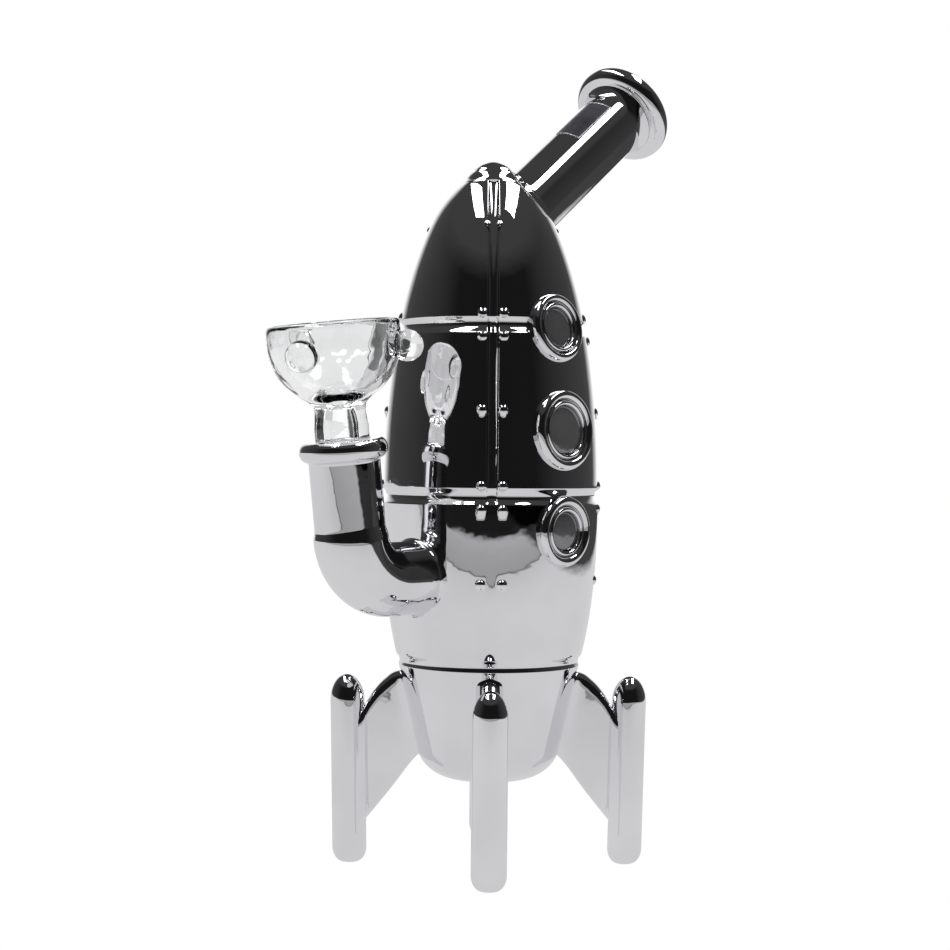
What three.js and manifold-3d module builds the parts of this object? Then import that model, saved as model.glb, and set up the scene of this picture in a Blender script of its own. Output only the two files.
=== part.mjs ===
// A rocket-shaped water pipe of mirror-plated blown glass that stands on four fins.
// Millimetres, +Z up. The hull's axis is vertical and its feet stand on z = 0. The front fin is on -Y.
import * as THREE from "three";
import { mergeVertices } from "three/addons/utils/BufferGeometryUtils.js";
import Module from "manifold-3d";

const wasm = await Module();
wasm.setup();

// ---- Driving dimensions ----

const GAP = 0.3; // between neighbouring pieces
const WALL = 3; // of the hull
const ROUND = 28; // facets round the hull, a multiple of 4
const FINE = 20; // facets round a tube
const SMALL = 14; // facets round a leg

// Hull: two half-ovals of revolution that meet at the widest ring.
const HULL_RADIUS = 30.2;
const WIDEST_Z = 105;
const NOSE_HEIGHT = 90.5;
const BELLY_HEIGHT = 79.2;
const BELLY_POWER = 2.5;
const NOSE_TOP_Z = 190.6;
const NOSE_CEILING_Z = 186;

// Panel grooves run round the hull and seams run down it, a quarter turn apart.
const GROOVE_Z = { lower: 56.2, middle: 103.4, upper: 149.7 };
const GROOVE_WIDTH = 4.4;
const GROOVE_DEPTH = 1.1;
const SEAM_WIDTH = 3.5;
const SEAM_DEPTH = 0.9;
const SEAM_END_Z = 77.5;

// Rivets sit in pairs beside each seam.
const RIVET_RADIUS = 1.45;
const RIVET_RISE = 1;
const RIVET_OFFSET = 2.9;
const RIVET_ROWS_Z = [177.5, 152.8, 146.6, 126.7, 106.2, 99.8, 79.8];

// Tail: a cone with a rounded bottom.
const TAIL_TAPER = 0.225;
const TAIL_CORNER_Z = 33;
const TAIL_FLAT_RADIUS = 8;
const TAIL_BOTTOM_Z = 23.8;

// Nose cap: a small solid boss.
const CAP_RADIUS = 7.5;
const CAP_HEIGHT = 6;

// Neck: a straight tube towards the right and back that ends in a rolled lip.
const NECK_AZIMUTH = 45;
const NECK_ELEVATION = 37.4;
const NECK_ROOT_Z = 174.8;
const NECK_RADIUS = 9.7;
const NECK_BORE = 7;
const NECK_START = 8;
const NECK_END = 66.2;
const NECK_FLARE = 1.6;
const LIP_RADIUS = 15.4;
const LIP_THICKNESS = 6.2;

// Side joint, towards the front left: an elbow, a ground socket and its collar.
const JOINT_AZIMUTH = 225;
const JOINT_LEAN = 7.3;
const JOINT_Z = 81;
const ELBOW_RADIUS = 9.7;
const ELBOW_BORE = 6.5;
const ELBOW_BEND = 13.5;
const ELBOW_REACH = 39;
const HULL_PORT = 4;
const SOCKET_START = 1.5;
const SOCKET_LENGTH = 18.2;
const COLLAR_RADIUS = 11.7;
const COLLAR_LENGTH = 5.8;
const JOINT_MOUTH_RADIUS = 7.4; // of a 14.5 mm ground joint, with the clearance that it runs on
const JOINT_TAPER = 0.05; // radius lost for each millimetre down, as in every ground joint
const JOINT_CLEARANCE = 0.25;

// Bowl: a clear glass cup on a ground stem.
const STEM_DEPTH = 21;
const STEM_RISE = 8.6;
const STEM_BORE = 4.2;
const CUP_RADIUS = 17.8;
const CUP_HEIGHT = 21.2;
const CUP_ROUND_HEIGHT = 17;
const CUP_WALL = 2.8;
const DRAIN_RADIUS = 2.5;
const KNOB_RADIUS = 4.2;
const KNOB_DROP = 4.8;
const KNOB_FIRST_TURN = 22;

// Downstem and diffuser, inside the hull.
const DOWNSTEM_RADIUS = 5;
const DOWNSTEM_BORE = 3.5;
const DOWNSTEM_START = 25;
const DOWNSTEM_BEND = 12;
const DOWNSTEM_END_Z = 42;
const DIFFUSER_RADIUS = 7.8;
const DIFFUSER_WALL = 2;
const DIFFUSER_TOP_Z = 47;
const DIFFUSER_BOTTOM_Z = 30;
const DIFFUSER_SLOTS = 6;
const SLOT_WIDTH = 2;
const SLOT_TOP_Z = 39;

// Portholes, down the front right of the hull.
const PORTHOLE_AZIMUTH = -51;
const PORTHOLES = {
  upper: { z: 149.2, radius: 9.5, window: 5.5 },
  middle: { z: 121.5, radius: 11, window: 6.6 },
  lower: { z: 94.1, radius: 9.7, window: 5.3 },
};
const PORTHOLE_ROOT = -5; // below the hull's surface, where the hull cuts it off
const BEAD_BASE = 0.5;
const OUTER_BEAD_RISE = 2.1;
const INNER_BEAD_WIDTH = 1.5;
const INNER_BEAD_RISE = 1.5;
const LENS_RISE = 1.3;

// Fins: a web plate and an upright leg each.
const LEG_RADIUS = 4.85;
const LEG_HEIGHT = 52.8;
const LEG_FOOT_X = 38.6;
const LEG_LEAN = 0.021;
const LEG_CROWN = 7.5;
const LEG_TOE = 4.2;
const LEG_FLAT_RADIUS = 1.8;
const WEB_THICKNESS = 5.8;
const WEB_BEVEL = 1.5;

// ---- Materials ----

function material(color, roughness, metalness, opacity = 1) {
  return new THREE.MeshStandardMaterial({ color, roughness, metalness, opacity, transparent: opacity < 1 });
}

const platedGlass = () => material(0xc9c7cf, 0.05, 1);
const portholeMirror = () => material(0x8d8d92, 0.12, 1);
const clearGlass = () => material(0xf2f6f7, 0.03, 0, 0.35);

// ---- Solids ----

const radians = THREE.MathUtils.degToRad;

// A manifold-3d solid of a closed geometry.
function solidOf(geometry) {
  const bare = geometry.clone();
  bare.deleteAttribute("normal");
  bare.deleteAttribute("uv");
  const merged = mergeVertices(bare, 1e-4);
  const mesh = new wasm.Mesh({
    numProp: 3,
    vertProperties: merged.attributes.position.array,
    triVerts: new Uint32Array(merged.index.array),
  });
  return new wasm.Manifold(mesh);
}

function geometryOf(solid) {
  const mesh = solid.getMesh();
  const geometry = new THREE.BufferGeometry();
  geometry.setAttribute("position", new THREE.BufferAttribute(mesh.vertProperties, 3));
  geometry.setIndex(new THREE.BufferAttribute(mesh.triVerts, 1));
  const faceted = geometry.toNonIndexed();
  faceted.computeVertexNormals();
  return faceted;
}

function cut(geometry, ...cutters) {
  const solid = cutters.reduce((left, cutter) => left.subtract(solidOf(cutter)), solidOf(geometry));
  return geometryOf(solid);
}

function join(geometry, pieces) {
  const solid = pieces.reduce((sum, piece) => sum.add(solidOf(piece)), solidOf(geometry));
  return geometryOf(solid);
}

// A profile of [radius, height] points turned about Z. It runs upwards on the outside.
function turned(profile, facets) {
  const points = profile.map(([radius, height]) => new THREE.Vector2(radius, height));
  const geometry = new THREE.LatheGeometry(points, facets);
  return geometry.rotateX(Math.PI / 2);
}

function rod(radius, from, to, facets = FINE) {
  return turned([[0, from], [radius, from], [radius, to], [0, to]], facets);
}

function spaced(from, to, steps) {
  return Array.from({ length: steps + 1 }, (_, i) => from + ((to - from) * i) / steps);
}

// Points along an ellipse, whose side is at 0 degrees and whose top is at 90.
function arc(centre, radii, fromDegrees, toDegrees, steps) {
  return spaced(radians(fromDegrees), radians(toDegrees), steps).map((angle) => {
    return [centre[0] + radii[0] * Math.cos(angle), centre[1] + radii[1] * Math.sin(angle)];
  });
}

// A group whose local Z leans by an elevation above the horizontal, at an azimuth from +X.
function leaningGroup(position, azimuth, elevation) {
  const group = new THREE.Group();
  group.position.copy(position);
  group.rotation.set(0, radians(90 - elevation), radians(azimuth), "ZYX");
  group.updateMatrixWorld(true);
  return group;
}

// A geometry given in the hull's frame, as it looks from inside a group.
function seenFrom(group, geometry) {
  return geometry.clone().applyMatrix4(group.matrixWorld.clone().invert());
}

function part(name, geometry, look) {
  const mesh = new THREE.Mesh(geometry, look);
  mesh.name = name;
  return mesh;
}

// ---- Hull ----

// The hull's outer radius at a height, without grooves.
function hullRadius(z) {
  if (z >= WIDEST_Z) {
    const t = (z - WIDEST_Z) / NOSE_HEIGHT;
    return HULL_RADIUS * Math.sqrt(1 - t * t);
  }
  if (z >= GROOVE_Z.lower) {
    const t = (WIDEST_Z - z) / BELLY_HEIGHT;
    return HULL_RADIUS * Math.sqrt(1 - t ** BELLY_POWER);
  }
  return hullRadius(GROOVE_Z.lower) - TAIL_TAPER * (GROOVE_Z.lower - z);
}

function grooveDepth(z) {
  const nearest = Math.min(...Object.values(GROOVE_Z).map((groove) => Math.abs(z - groove)));
  return nearest < GROOVE_WIDTH / 2 ? GROOVE_DEPTH * Math.cos((Math.PI * nearest) / GROOVE_WIDTH) ** 2 : 0;
}

// Heights from one groove to the next, close together where the surface turns into a groove.
function sectionHeights(bottom, top, steps) {
  const lip = GROOVE_WIDTH / 2;
  const between = spaced(bottom + lip, top - lip, steps);
  return [bottom + GAP / 2, bottom + lip / 2, ...between, top - lip / 2, top - GAP / 2];
}

const outerPoint = (z) => [hullRadius(z) - grooveDepth(z), z];
const innerPoint = (z) => [hullRadius(z) - WALL, z];

// Slides a section's vertices round to the seams' edges and presses in those on the seams' centres.
function withSeams(geometry) {
  const place = geometry.attributes.position;
  const perQuarter = ROUND / 4;
  const quarterTurn = Math.PI / 2;
  for (let i = 0; i < place.count; i += 1) {
    const radius = Math.hypot(place.getX(i), place.getY(i));
    const z = place.getZ(i);
    if (radius < SEAM_WIDTH) continue;
    const turn = (Math.atan2(place.getX(i), -place.getY(i)) / (2 * Math.PI)) * ROUND;
    const step = (Math.round(turn) + ROUND) % ROUND;
    const inQuarter = step % perQuarter;
    const edge = Math.asin(SEAM_WIDTH / 2 / radius);
    const spread = (quarterTurn - 2 * edge) / (perQuarter - 2);
    const past = inQuarter === 0 ? 0 : edge + (inQuarter - 1) * spread;
    const angle = ((step - inQuarter) / perQuarter) * quarterTurn + past;
    const outside = radius > hullRadius(z) - WALL / 2;
    const pressed = inQuarter === 0 && outside && z > SEAM_END_Z ? radius - SEAM_DEPTH : radius;
    place.setX(i, pressed * Math.sin(angle));
    place.setY(i, -pressed * Math.cos(angle));
  }
  return geometry;
}

function rivet(z, quarter, side) {
  const radius = hullRadius(z);
  const dome = new THREE.SphereGeometry(RIVET_RADIUS, 6, 3);
  dome.scale(1, RIVET_RISE / RIVET_RADIUS, 1);
  dome.rotateZ(-Math.PI / 2);
  dome.translate(Math.sqrt(radius ** 2 - RIVET_OFFSET ** 2), side * RIVET_OFFSET, z);
  return dome.rotateZ((quarter * Math.PI) / 2);
}

function rivetsBetween(bottom, top) {
  const rows = RIVET_ROWS_Z.filter((z) => z > bottom && z < top);
  const ring = (z) => [0, 1, 2, 3].flatMap((quarter) => [rivet(z, quarter, -1), rivet(z, quarter, 1)]);
  return rows.flatMap(ring);
}

// A length of hull between two grooves, open at both ends.
function hullTube(bottom, top, steps) {
  const outside = sectionHeights(bottom, top, steps).map(outerPoint);
  const inside = spaced(top - GAP / 2, bottom + GAP / 2, 3).map(innerPoint);
  const profile = [...outside, ...inside, outside[0]];
  return join(withSeams(turned(profile, ROUND)), rivetsBetween(bottom, top));
}

// The nose, closed at the top and open below.
function noseGeometry() {
  const bottom = GROOVE_Z.upper;
  const lip = GROOVE_WIDTH / 2;
  const outside = [bottom + GAP / 2, bottom + lip / 2, bottom + lip, 160, 168, 175, 181, 186, NOSE_TOP_Z];
  const inside = [NOSE_CEILING_Z - 2, 177, 166, bottom + GAP / 2];
  const profile = [
    [0, NOSE_CEILING_Z],
    ...inside.map(innerPoint),
    ...outside.map(outerPoint),
    [0, NOSE_TOP_Z],
  ];
  return join(withSeams(turned(profile, ROUND)), rivetsBetween(bottom, NOSE_TOP_Z));
}

// The tail cone's outside, from the middle of its rounded bottom up to the lower groove.
function tailOutside() {
  const cornerRadius = hullRadius(TAIL_CORNER_Z);
  const centre = [TAIL_FLAT_RADIUS, TAIL_CORNER_Z + 1];
  const reach = [cornerRadius - TAIL_FLAT_RADIUS, TAIL_CORNER_Z + 1 - TAIL_BOTTOM_Z];
  const heights = [TAIL_CORNER_Z + 5, GROOVE_Z.lower - GROOVE_WIDTH / 2];
  const neck = [GROOVE_Z.lower - GROOVE_WIDTH / 4, GROOVE_Z.lower - GAP / 2];
  return [[0, TAIL_BOTTOM_Z], ...arc(centre, reach, -90, -8, 4), ...[...heights, ...neck].map(outerPoint)];
}

function tailGeometry() {
  const floor = TAIL_BOTTOM_Z + WALL;
  const inside = [
    innerPoint(GROOVE_Z.lower - GAP / 2),
    innerPoint(TAIL_CORNER_Z + 3),
    [TAIL_FLAT_RADIUS + 3, floor],
    [0, floor],
  ];
  return turned([...tailOutside(), ...inside], ROUND);
}

// The nose cap: a low cone with a rounded tip.
function capOutside(base) {
  return [
    [0, base],
    [CAP_RADIUS, base],
    [CAP_RADIUS * 0.94, base + CAP_HEIGHT * 0.16],
    [CAP_RADIUS * 0.7, base + CAP_HEIGHT * 0.5],
    [CAP_RADIUS * 0.45, base + CAP_HEIGHT * 0.84],
    [CAP_RADIUS * 0.22, base + CAP_HEIGHT * 0.97],
    [0, base + CAP_HEIGHT],
  ];
}

// The whole hull as one plug, a little larger all round, to cut its neighbours with.
function hullEnvelope() {
  const fattened = ([radius, z]) => [radius + GAP, z];
  const tail = tailOutside().slice(1, 6).map(([radius, z]) => [radius + GAP, z - GAP]);
  const belly = spaced(TAIL_CORNER_Z + 5, 170, 15).map((z) => fattened([hullRadius(z), z]));
  const nose = [175, 180, 185, NOSE_TOP_Z].map((z) => fattened([hullRadius(z), z]));
  const cap = capOutside(NOSE_TOP_Z + GAP).slice(1, -1).map(fattened);
  const bottom = [0, TAIL_BOTTOM_Z - GAP];
  const tip = [0, NOSE_TOP_Z + CAP_HEIGHT + 2 * GAP];
  return turned([bottom, ...tail, ...belly, ...nose, ...cap, tip], ROUND);
}

const envelope = hullEnvelope();

// ---- Neck and lip ----

function neckGroup() {
  return leaningGroup(new THREE.Vector3(0, 0, NECK_ROOT_Z), NECK_AZIMUTH, NECK_ELEVATION);
}

function neckGeometry(group) {
  const profile = [
    [NECK_BORE, NECK_START],
    [NECK_RADIUS, NECK_START],
    [NECK_RADIUS, NECK_END - 4],
    [NECK_RADIUS + NECK_FLARE * 0.3, NECK_END - 2],
    [NECK_RADIUS + NECK_FLARE, NECK_END],
    [NECK_BORE, NECK_END],
    [NECK_BORE, NECK_START],
  ];
  return cut(turned(profile, FINE), seenFrom(group, envelope));
}

// The rolled lip: a ring with a round outer edge and a flat end face.
function lipGeometry() {
  const half = LIP_THICKNESS / 2;
  const middle = NECK_END + GAP + half;
  const edge = arc([LIP_RADIUS - half, middle], [half, half], -90, 90, 6);
  const mouth = arc([NECK_BORE + 1.5, middle + half - 1.5], [-1.5, 1.5], 90, 0, 2);
  const profile = [[NECK_BORE, middle - half], ...edge, ...mouth, [NECK_BORE, middle - half]];
  return turned(profile, FINE);
}

function neckPort(group) {
  return rod(NECK_BORE, NECK_START, NECK_END / 2, FINE).applyMatrix4(group.matrixWorld);
}

// ---- Side joint ----

// The centreline of a tube that runs in along X, turns through an angle, and goes on straight.
class BentPath extends THREE.Curve {
  constructor(start, corner, bend, turn, length) {
    super();
    Object.assign(this, { start, corner, bend, turn, length });
  }

  getPoint(t) {
    const first = Math.abs(this.corner - this.start);
    const way = Math.sign(this.corner - this.start);
    const curved = this.bend * Math.abs(this.turn);
    const rise = Math.sign(this.turn);
    const along = t * (first + curved + this.length);
    if (along <= first) return new THREE.Vector3(this.start + way * along, 0, 0);
    const angle = Math.min(along - first, curved) / this.bend;
    const past = Math.max(along - first - curved, 0);
    const x = this.corner + way * (this.bend * Math.sin(angle) + past * Math.cos(angle));
    const z = rise * (this.bend * (1 - Math.cos(angle)) + past * Math.sin(angle));
    return new THREE.Vector3(x, 0, z);
  }
}

function ringShape(radius, bore, facets) {
  const circle = (r) => {
    return Array.from({ length: facets }, (_, i) => {
      const angle = (2 * Math.PI * i) / facets;
      return new THREE.Vector2(r * Math.cos(angle), r * Math.sin(angle));
    });
  };
  const shape = new THREE.Shape(circle(radius));
  shape.holes.push(new THREE.Path(circle(bore)));
  return shape;
}

function bentTube(path, radius, bore, steps, facets) {
  return new THREE.ExtrudeGeometry(ringShape(radius, bore, facets), { steps, extrudePath: path });
}

// Turned so that local X points out of the hull at the joint's azimuth.
function sideGroup() {
  const group = new THREE.Group();
  group.position.set(0, 0, JOINT_Z);
  group.rotation.z = radians(JOINT_AZIMUTH);
  group.updateMatrixWorld(true);
  return group;
}

const elbowTurn = radians(90 - JOINT_LEAN);

function elbowGeometry(group) {
  const path = new BentPath(24, ELBOW_REACH, ELBOW_BEND, elbowTurn, SOCKET_START - GAP);
  return cut(bentTube(path, ELBOW_RADIUS, ELBOW_BORE, 10, FINE), seenFrom(group, envelope));
}

function hullPort(group) {
  const port = rod(HULL_PORT, 20, 36, SMALL);
  port.rotateY(Math.PI / 2);
  return port.applyMatrix4(group.matrixWorld);
}

// Local Z runs up the ground joint's axis from the end of the elbow's bend.
function jointGroup() {
  const out = ELBOW_REACH + ELBOW_BEND * Math.sin(elbowTurn);
  const up = JOINT_Z + ELBOW_BEND * (1 - Math.cos(elbowTurn));
  const azimuth = radians(JOINT_AZIMUTH);
  const position = new THREE.Vector3(out * Math.cos(azimuth), out * Math.sin(azimuth), up);
  return leaningGroup(position, JOINT_AZIMUTH, 90 - JOINT_LEAN);
}

const socketEnd = SOCKET_START + SOCKET_LENGTH;
const mouthHeight = socketEnd + GAP + COLLAR_LENGTH;
const boreRadius = (height) => JOINT_MOUTH_RADIUS - JOINT_TAPER * (mouthHeight - height);

function socketGeometry() {
  const profile = [
    [boreRadius(SOCKET_START), SOCKET_START],
    [ELBOW_RADIUS, SOCKET_START],
    [ELBOW_RADIUS, socketEnd],
    [boreRadius(socketEnd), socketEnd],
    [boreRadius(SOCKET_START), SOCKET_START],
  ];
  return turned(profile, FINE);
}

function collarGeometry() {
  const bottom = socketEnd + GAP;
  const corner = COLLAR_LENGTH * 0.42;
  const profile = [
    [boreRadius(bottom), bottom],
    ...arc([COLLAR_RADIUS - corner, bottom + corner], [corner, corner], -90, 0, 3),
    ...arc([COLLAR_RADIUS - corner, mouthHeight - corner], [corner, corner], 0, 90, 3),
    [boreRadius(mouthHeight), mouthHeight],
    [boreRadius(bottom), bottom],
  ];
  return turned(profile, FINE);
}

// ---- Bowl ----

const stemTop = mouthHeight + STEM_RISE;
const cupBottom = stemTop + GAP;
const cupTop = cupBottom + CUP_HEIGHT;

function stemGeometry() {
  const bottom = mouthHeight - STEM_DEPTH;
  const seat = JOINT_MOUTH_RADIUS - JOINT_CLEARANCE;
  const profile = [
    [STEM_BORE, bottom],
    [boreRadius(bottom) - JOINT_CLEARANCE, bottom],
    [seat, mouthHeight],
    [seat, stemTop],
    [STEM_BORE, stemTop],
    [STEM_BORE, bottom],
  ];
  return turned(profile, FINE);
}

// The cup's outside, from the stem up to the rim. It is also the outline that the knobs are fitted to.
function cupOutside(extra = 0) {
  const round = arc([0, cupBottom + CUP_ROUND_HEIGHT], [CUP_RADIUS + extra, CUP_ROUND_HEIGHT], -64, 0, 5);
  return [[JOINT_MOUTH_RADIUS + extra, cupBottom], ...round];
}

function cupGeometry() {
  const rim = arc([CUP_RADIUS - CUP_WALL / 2, cupTop - 1.4], [CUP_WALL / 2, 1.4], 0, 180, 4);
  const inner = CUP_RADIUS - CUP_WALL;
  const floor = cupBottom + CUP_WALL + 1;
  const shoulder = cupBottom + CUP_ROUND_HEIGHT + 1;
  const hollow = arc([0, shoulder], [inner, shoulder - floor], 0, -78, 5);
  const profile = [
    [DRAIN_RADIUS, cupBottom],
    ...cupOutside(),
    ...rim,
    ...hollow,
    [DRAIN_RADIUS, floor],
    [DRAIN_RADIUS, cupBottom],
  ];
  return turned(profile, FINE);
}

function knobGeometry(index) {
  const turn = radians(KNOB_FIRST_TURN + 120 * index);
  const reach = CUP_RADIUS + KNOB_RADIUS * 0.45;
  const ball = new THREE.SphereGeometry(KNOB_RADIUS, 10, 7);
  ball.rotateX(Math.PI / 2);
  ball.translate(reach * Math.cos(turn), reach * Math.sin(turn), cupTop - KNOB_DROP);
  const body = [[0, cupBottom], ...cupOutside(GAP), [CUP_RADIUS + GAP, cupTop + GAP], [0, cupTop + GAP]];
  return cut(ball, turned(body, FINE));
}

// ---- Downstem and diffuser ----

function downstemGeometry() {
  const drop = JOINT_Z - DOWNSTEM_BEND - DOWNSTEM_END_Z;
  const path = new BentPath(DOWNSTEM_START, DOWNSTEM_BEND, DOWNSTEM_BEND, -Math.PI / 2, drop);
  return bentTube(path, DOWNSTEM_RADIUS, DOWNSTEM_BORE, 10, SMALL);
}

function diffuserGeometry() {
  const hole = DOWNSTEM_RADIUS + GAP;
  const profile = [
    [0, DIFFUSER_BOTTOM_Z],
    [DIFFUSER_RADIUS, DIFFUSER_BOTTOM_Z],
    [DIFFUSER_RADIUS, DIFFUSER_TOP_Z],
    [hole, DIFFUSER_TOP_Z],
    [hole, DIFFUSER_BOTTOM_Z + DIFFUSER_WALL],
    [0, DIFFUSER_BOTTOM_Z + DIFFUSER_WALL],
  ];
  const height = SLOT_TOP_Z - DIFFUSER_BOTTOM_Z - DIFFUSER_WALL;
  const slots = Array.from({ length: DIFFUSER_SLOTS }, (_, i) => {
    const slot = new THREE.BoxGeometry(DIFFUSER_RADIUS, SLOT_WIDTH, height);
    slot.translate(DIFFUSER_RADIUS, 0, SLOT_TOP_Z - height / 2);
    return slot.rotateZ((2 * Math.PI * i) / DIFFUSER_SLOTS);
  });
  return cut(turned(profile, SMALL), ...slots);
}

// ---- Portholes ----

function portholeGroup(z) {
  const azimuth = radians(PORTHOLE_AZIMUTH);
  const radius = hullRadius(z);
  const position = new THREE.Vector3(radius * Math.cos(azimuth), radius * Math.sin(azimuth), z);
  const slope = THREE.MathUtils.radToDeg(Math.atan(hullRadius(z - 0.5) - hullRadius(z + 0.5)));
  return leaningGroup(position, PORTHOLE_AZIMUTH, slope);
}

// A stout outer bead, a valley and a thin inner bead round the window.
function portholeRing(group, radius, window) {
  const valley = window + INNER_BEAD_WIDTH;
  const half = (radius - valley) / 2;
  const innerHalf = INNER_BEAD_WIDTH / 2;
  const profile = [
    [window, PORTHOLE_ROOT],
    [radius, PORTHOLE_ROOT],
    ...arc([radius - half, BEAD_BASE], [half, OUTER_BEAD_RISE], 0, 165, 4),
    ...arc([window + innerHalf, BEAD_BASE], [innerHalf, INNER_BEAD_RISE], 15, 180, 3),
    [window, PORTHOLE_ROOT],
  ];
  return cut(turned(profile, FINE), seenFrom(group, envelope));
}

function portholeLens(group, window) {
  const edge = window - GAP;
  const rim = [edge, LENS_RISE * 0.54];
  const dome = [[edge * 0.6, LENS_RISE * 0.85], [0, LENS_RISE]];
  const profile = [[0, PORTHOLE_ROOT], [edge, PORTHOLE_ROOT], rim, ...dome];
  return cut(turned(profile, FINE), seenFrom(group, envelope));
}

// ---- Fins ----

function leg(extra, facets) {
  const radius = LEG_RADIUS + extra;
  const profile = [
    [0, -extra],
    ...arc([LEG_FLAT_RADIUS, LEG_TOE], [radius - LEG_FLAT_RADIUS, LEG_TOE + extra], -90, 0, 2),
    ...arc([0, LEG_HEIGHT - LEG_CROWN], [radius, LEG_CROWN + extra], 0, 90, 4).slice(0, -1),
    [0, LEG_HEIGHT + extra],
  ];
  const lean = new THREE.Matrix4().makeShear(0, 0, 0, 0, LEG_LEAN, 0);
  const geometry = turned(profile, facets).applyMatrix4(lean);
  return geometry.translate(LEG_FOOT_X, 0, 0);
}

// The web's outline in the fin's own plane: X outward, Y up.
function webShape() {
  const inside = 14;
  const outside = 41;
  const shape = new THREE.Shape();
  shape.moveTo(inside, 33.5);
  shape.lineTo(19.8, 30.2);
  shape.lineTo(36.5, 9.2);
  shape.lineTo(outside, 9.2);
  shape.lineTo(outside, 41.5);
  shape.lineTo(35.6, 41.5);
  shape.quadraticCurveTo(31.3, 50.6, 25, 54);
  shape.lineTo(inside, 54);
  return shape;
}

function webGeometry() {
  const options = {
    depth: WEB_THICKNESS - 2 * WEB_BEVEL,
    bevelSize: WEB_BEVEL,
    bevelThickness: WEB_BEVEL,
    bevelOffset: -WEB_BEVEL,
    bevelSegments: 2,
    curveSegments: 4,
  };
  const plate = new THREE.ExtrudeGeometry(webShape(), options);
  plate.translate(0, 0, WEB_BEVEL - WEB_THICKNESS / 2);
  plate.rotateX(Math.PI / 2);
  return cut(plate, envelope, leg(GAP, SMALL));
}

// ---- Assembly ----

function addHull(pipe, neck, side) {
  const nose = cut(noseGeometry(), neckPort(neck));
  const lower = cut(hullTube(GROOVE_Z.lower, GROOVE_Z.middle, 6), hullPort(side));
  const upper = hullTube(GROOVE_Z.middle, GROOVE_Z.upper, 5);
  pipe.add(part("nose_cap", turned(capOutside(NOSE_TOP_Z + GAP), SMALL), platedGlass()));
  pipe.add(part("nose_shell", nose, platedGlass()));
  pipe.add(part("upper_hull", upper, platedGlass()));
  pipe.add(part("lower_hull", lower, platedGlass()));
  pipe.add(part("tail_cone", tailGeometry(), platedGlass()));
}

function addNeck(pipe, neck) {
  neck.add(part("neck_tube", neckGeometry(neck), platedGlass()));
  neck.add(part("mouth_lip", lipGeometry(), platedGlass()));
  pipe.add(neck);
}

function addJoint(pipe, side) {
  side.add(part("joint_elbow", elbowGeometry(side), platedGlass()));
  side.add(part("downstem", downstemGeometry(), clearGlass()));
  const joint = jointGroup();
  joint.add(part("joint_socket", socketGeometry(), platedGlass()));
  joint.add(part("joint_collar", collarGeometry(), platedGlass()));
  joint.add(part("bowl_stem", stemGeometry(), clearGlass()));
  joint.add(part("bowl_cup", cupGeometry(), clearGlass()));
  for (const index of [0, 1, 2]) {
    joint.add(part(`bowl_knob_${index + 1}`, knobGeometry(index), clearGlass()));
  }
  pipe.add(side, joint, part("diffuser", diffuserGeometry(), clearGlass()));
}

function addPortholes(pipe) {
  for (const [name, { z, radius, window }] of Object.entries(PORTHOLES)) {
    const group = portholeGroup(z);
    group.add(part(`porthole_ring_${name}`, portholeRing(group, radius, window), platedGlass()));
    group.add(part(`porthole_lens_${name}`, portholeLens(group, window), portholeMirror()));
    pipe.add(group);
  }
}

function addFins(pipe) {
  for (const [quarter, name] of ["right", "back", "left", "front"].entries()) {
    const fin = new THREE.Group();
    fin.rotation.z = (quarter * Math.PI) / 2;
    fin.add(part(`fin_web_${name}`, webGeometry(), platedGlass()));
    fin.add(part(`fin_leg_${name}`, leg(0, SMALL), platedGlass()));
    pipe.add(fin);
  }
}

// The frame's origin is at the middle of the whole object's footprint.
function centredOnFootprint(pipe) {
  const box = new THREE.Box3().setFromObject(pipe, true);
  const middle = box.getCenter(new THREE.Vector3());
  pipe.position.set(-middle.x, -middle.y, 0);
  const whole = new THREE.Group();
  whole.add(pipe);
  return whole;
}

function waterPipe() {
  const pipe = new THREE.Group();
  const neck = neckGroup();
  const side = sideGroup();
  addHull(pipe, neck, side);
  addNeck(pipe, neck);
  addJoint(pipe, side);
  addPortholes(pipe);
  addFins(pipe);
  return centredOnFootprint(pipe);
}

export default waterPipe();
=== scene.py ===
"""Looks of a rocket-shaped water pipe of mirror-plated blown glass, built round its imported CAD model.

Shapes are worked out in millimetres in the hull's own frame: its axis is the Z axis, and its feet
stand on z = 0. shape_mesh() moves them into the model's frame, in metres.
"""
import math

import bmesh
import bpy
from mathutils import Matrix, Vector, noise


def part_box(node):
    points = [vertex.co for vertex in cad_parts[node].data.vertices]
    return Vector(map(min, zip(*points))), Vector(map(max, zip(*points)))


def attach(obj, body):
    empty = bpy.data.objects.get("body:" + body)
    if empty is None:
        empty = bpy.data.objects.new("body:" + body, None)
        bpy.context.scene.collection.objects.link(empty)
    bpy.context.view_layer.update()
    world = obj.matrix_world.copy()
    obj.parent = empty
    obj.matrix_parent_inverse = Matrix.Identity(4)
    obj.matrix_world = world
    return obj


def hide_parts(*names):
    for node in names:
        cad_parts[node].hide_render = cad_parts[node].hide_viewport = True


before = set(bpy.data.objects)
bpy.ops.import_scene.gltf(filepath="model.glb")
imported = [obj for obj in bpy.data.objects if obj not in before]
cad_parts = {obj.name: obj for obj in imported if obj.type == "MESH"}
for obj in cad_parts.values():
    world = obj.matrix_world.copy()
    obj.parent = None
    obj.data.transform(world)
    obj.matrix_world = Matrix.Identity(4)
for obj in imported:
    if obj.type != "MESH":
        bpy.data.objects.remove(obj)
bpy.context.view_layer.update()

MM = 0.001
tail_low, tail_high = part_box("tail_cone")
HULL_AXIS = Vector(((tail_low.x + tail_high.x) / 2, (tail_low.y + tail_high.y) / 2, 0))

# ---- Driving dimensions, in millimetres ----

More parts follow.
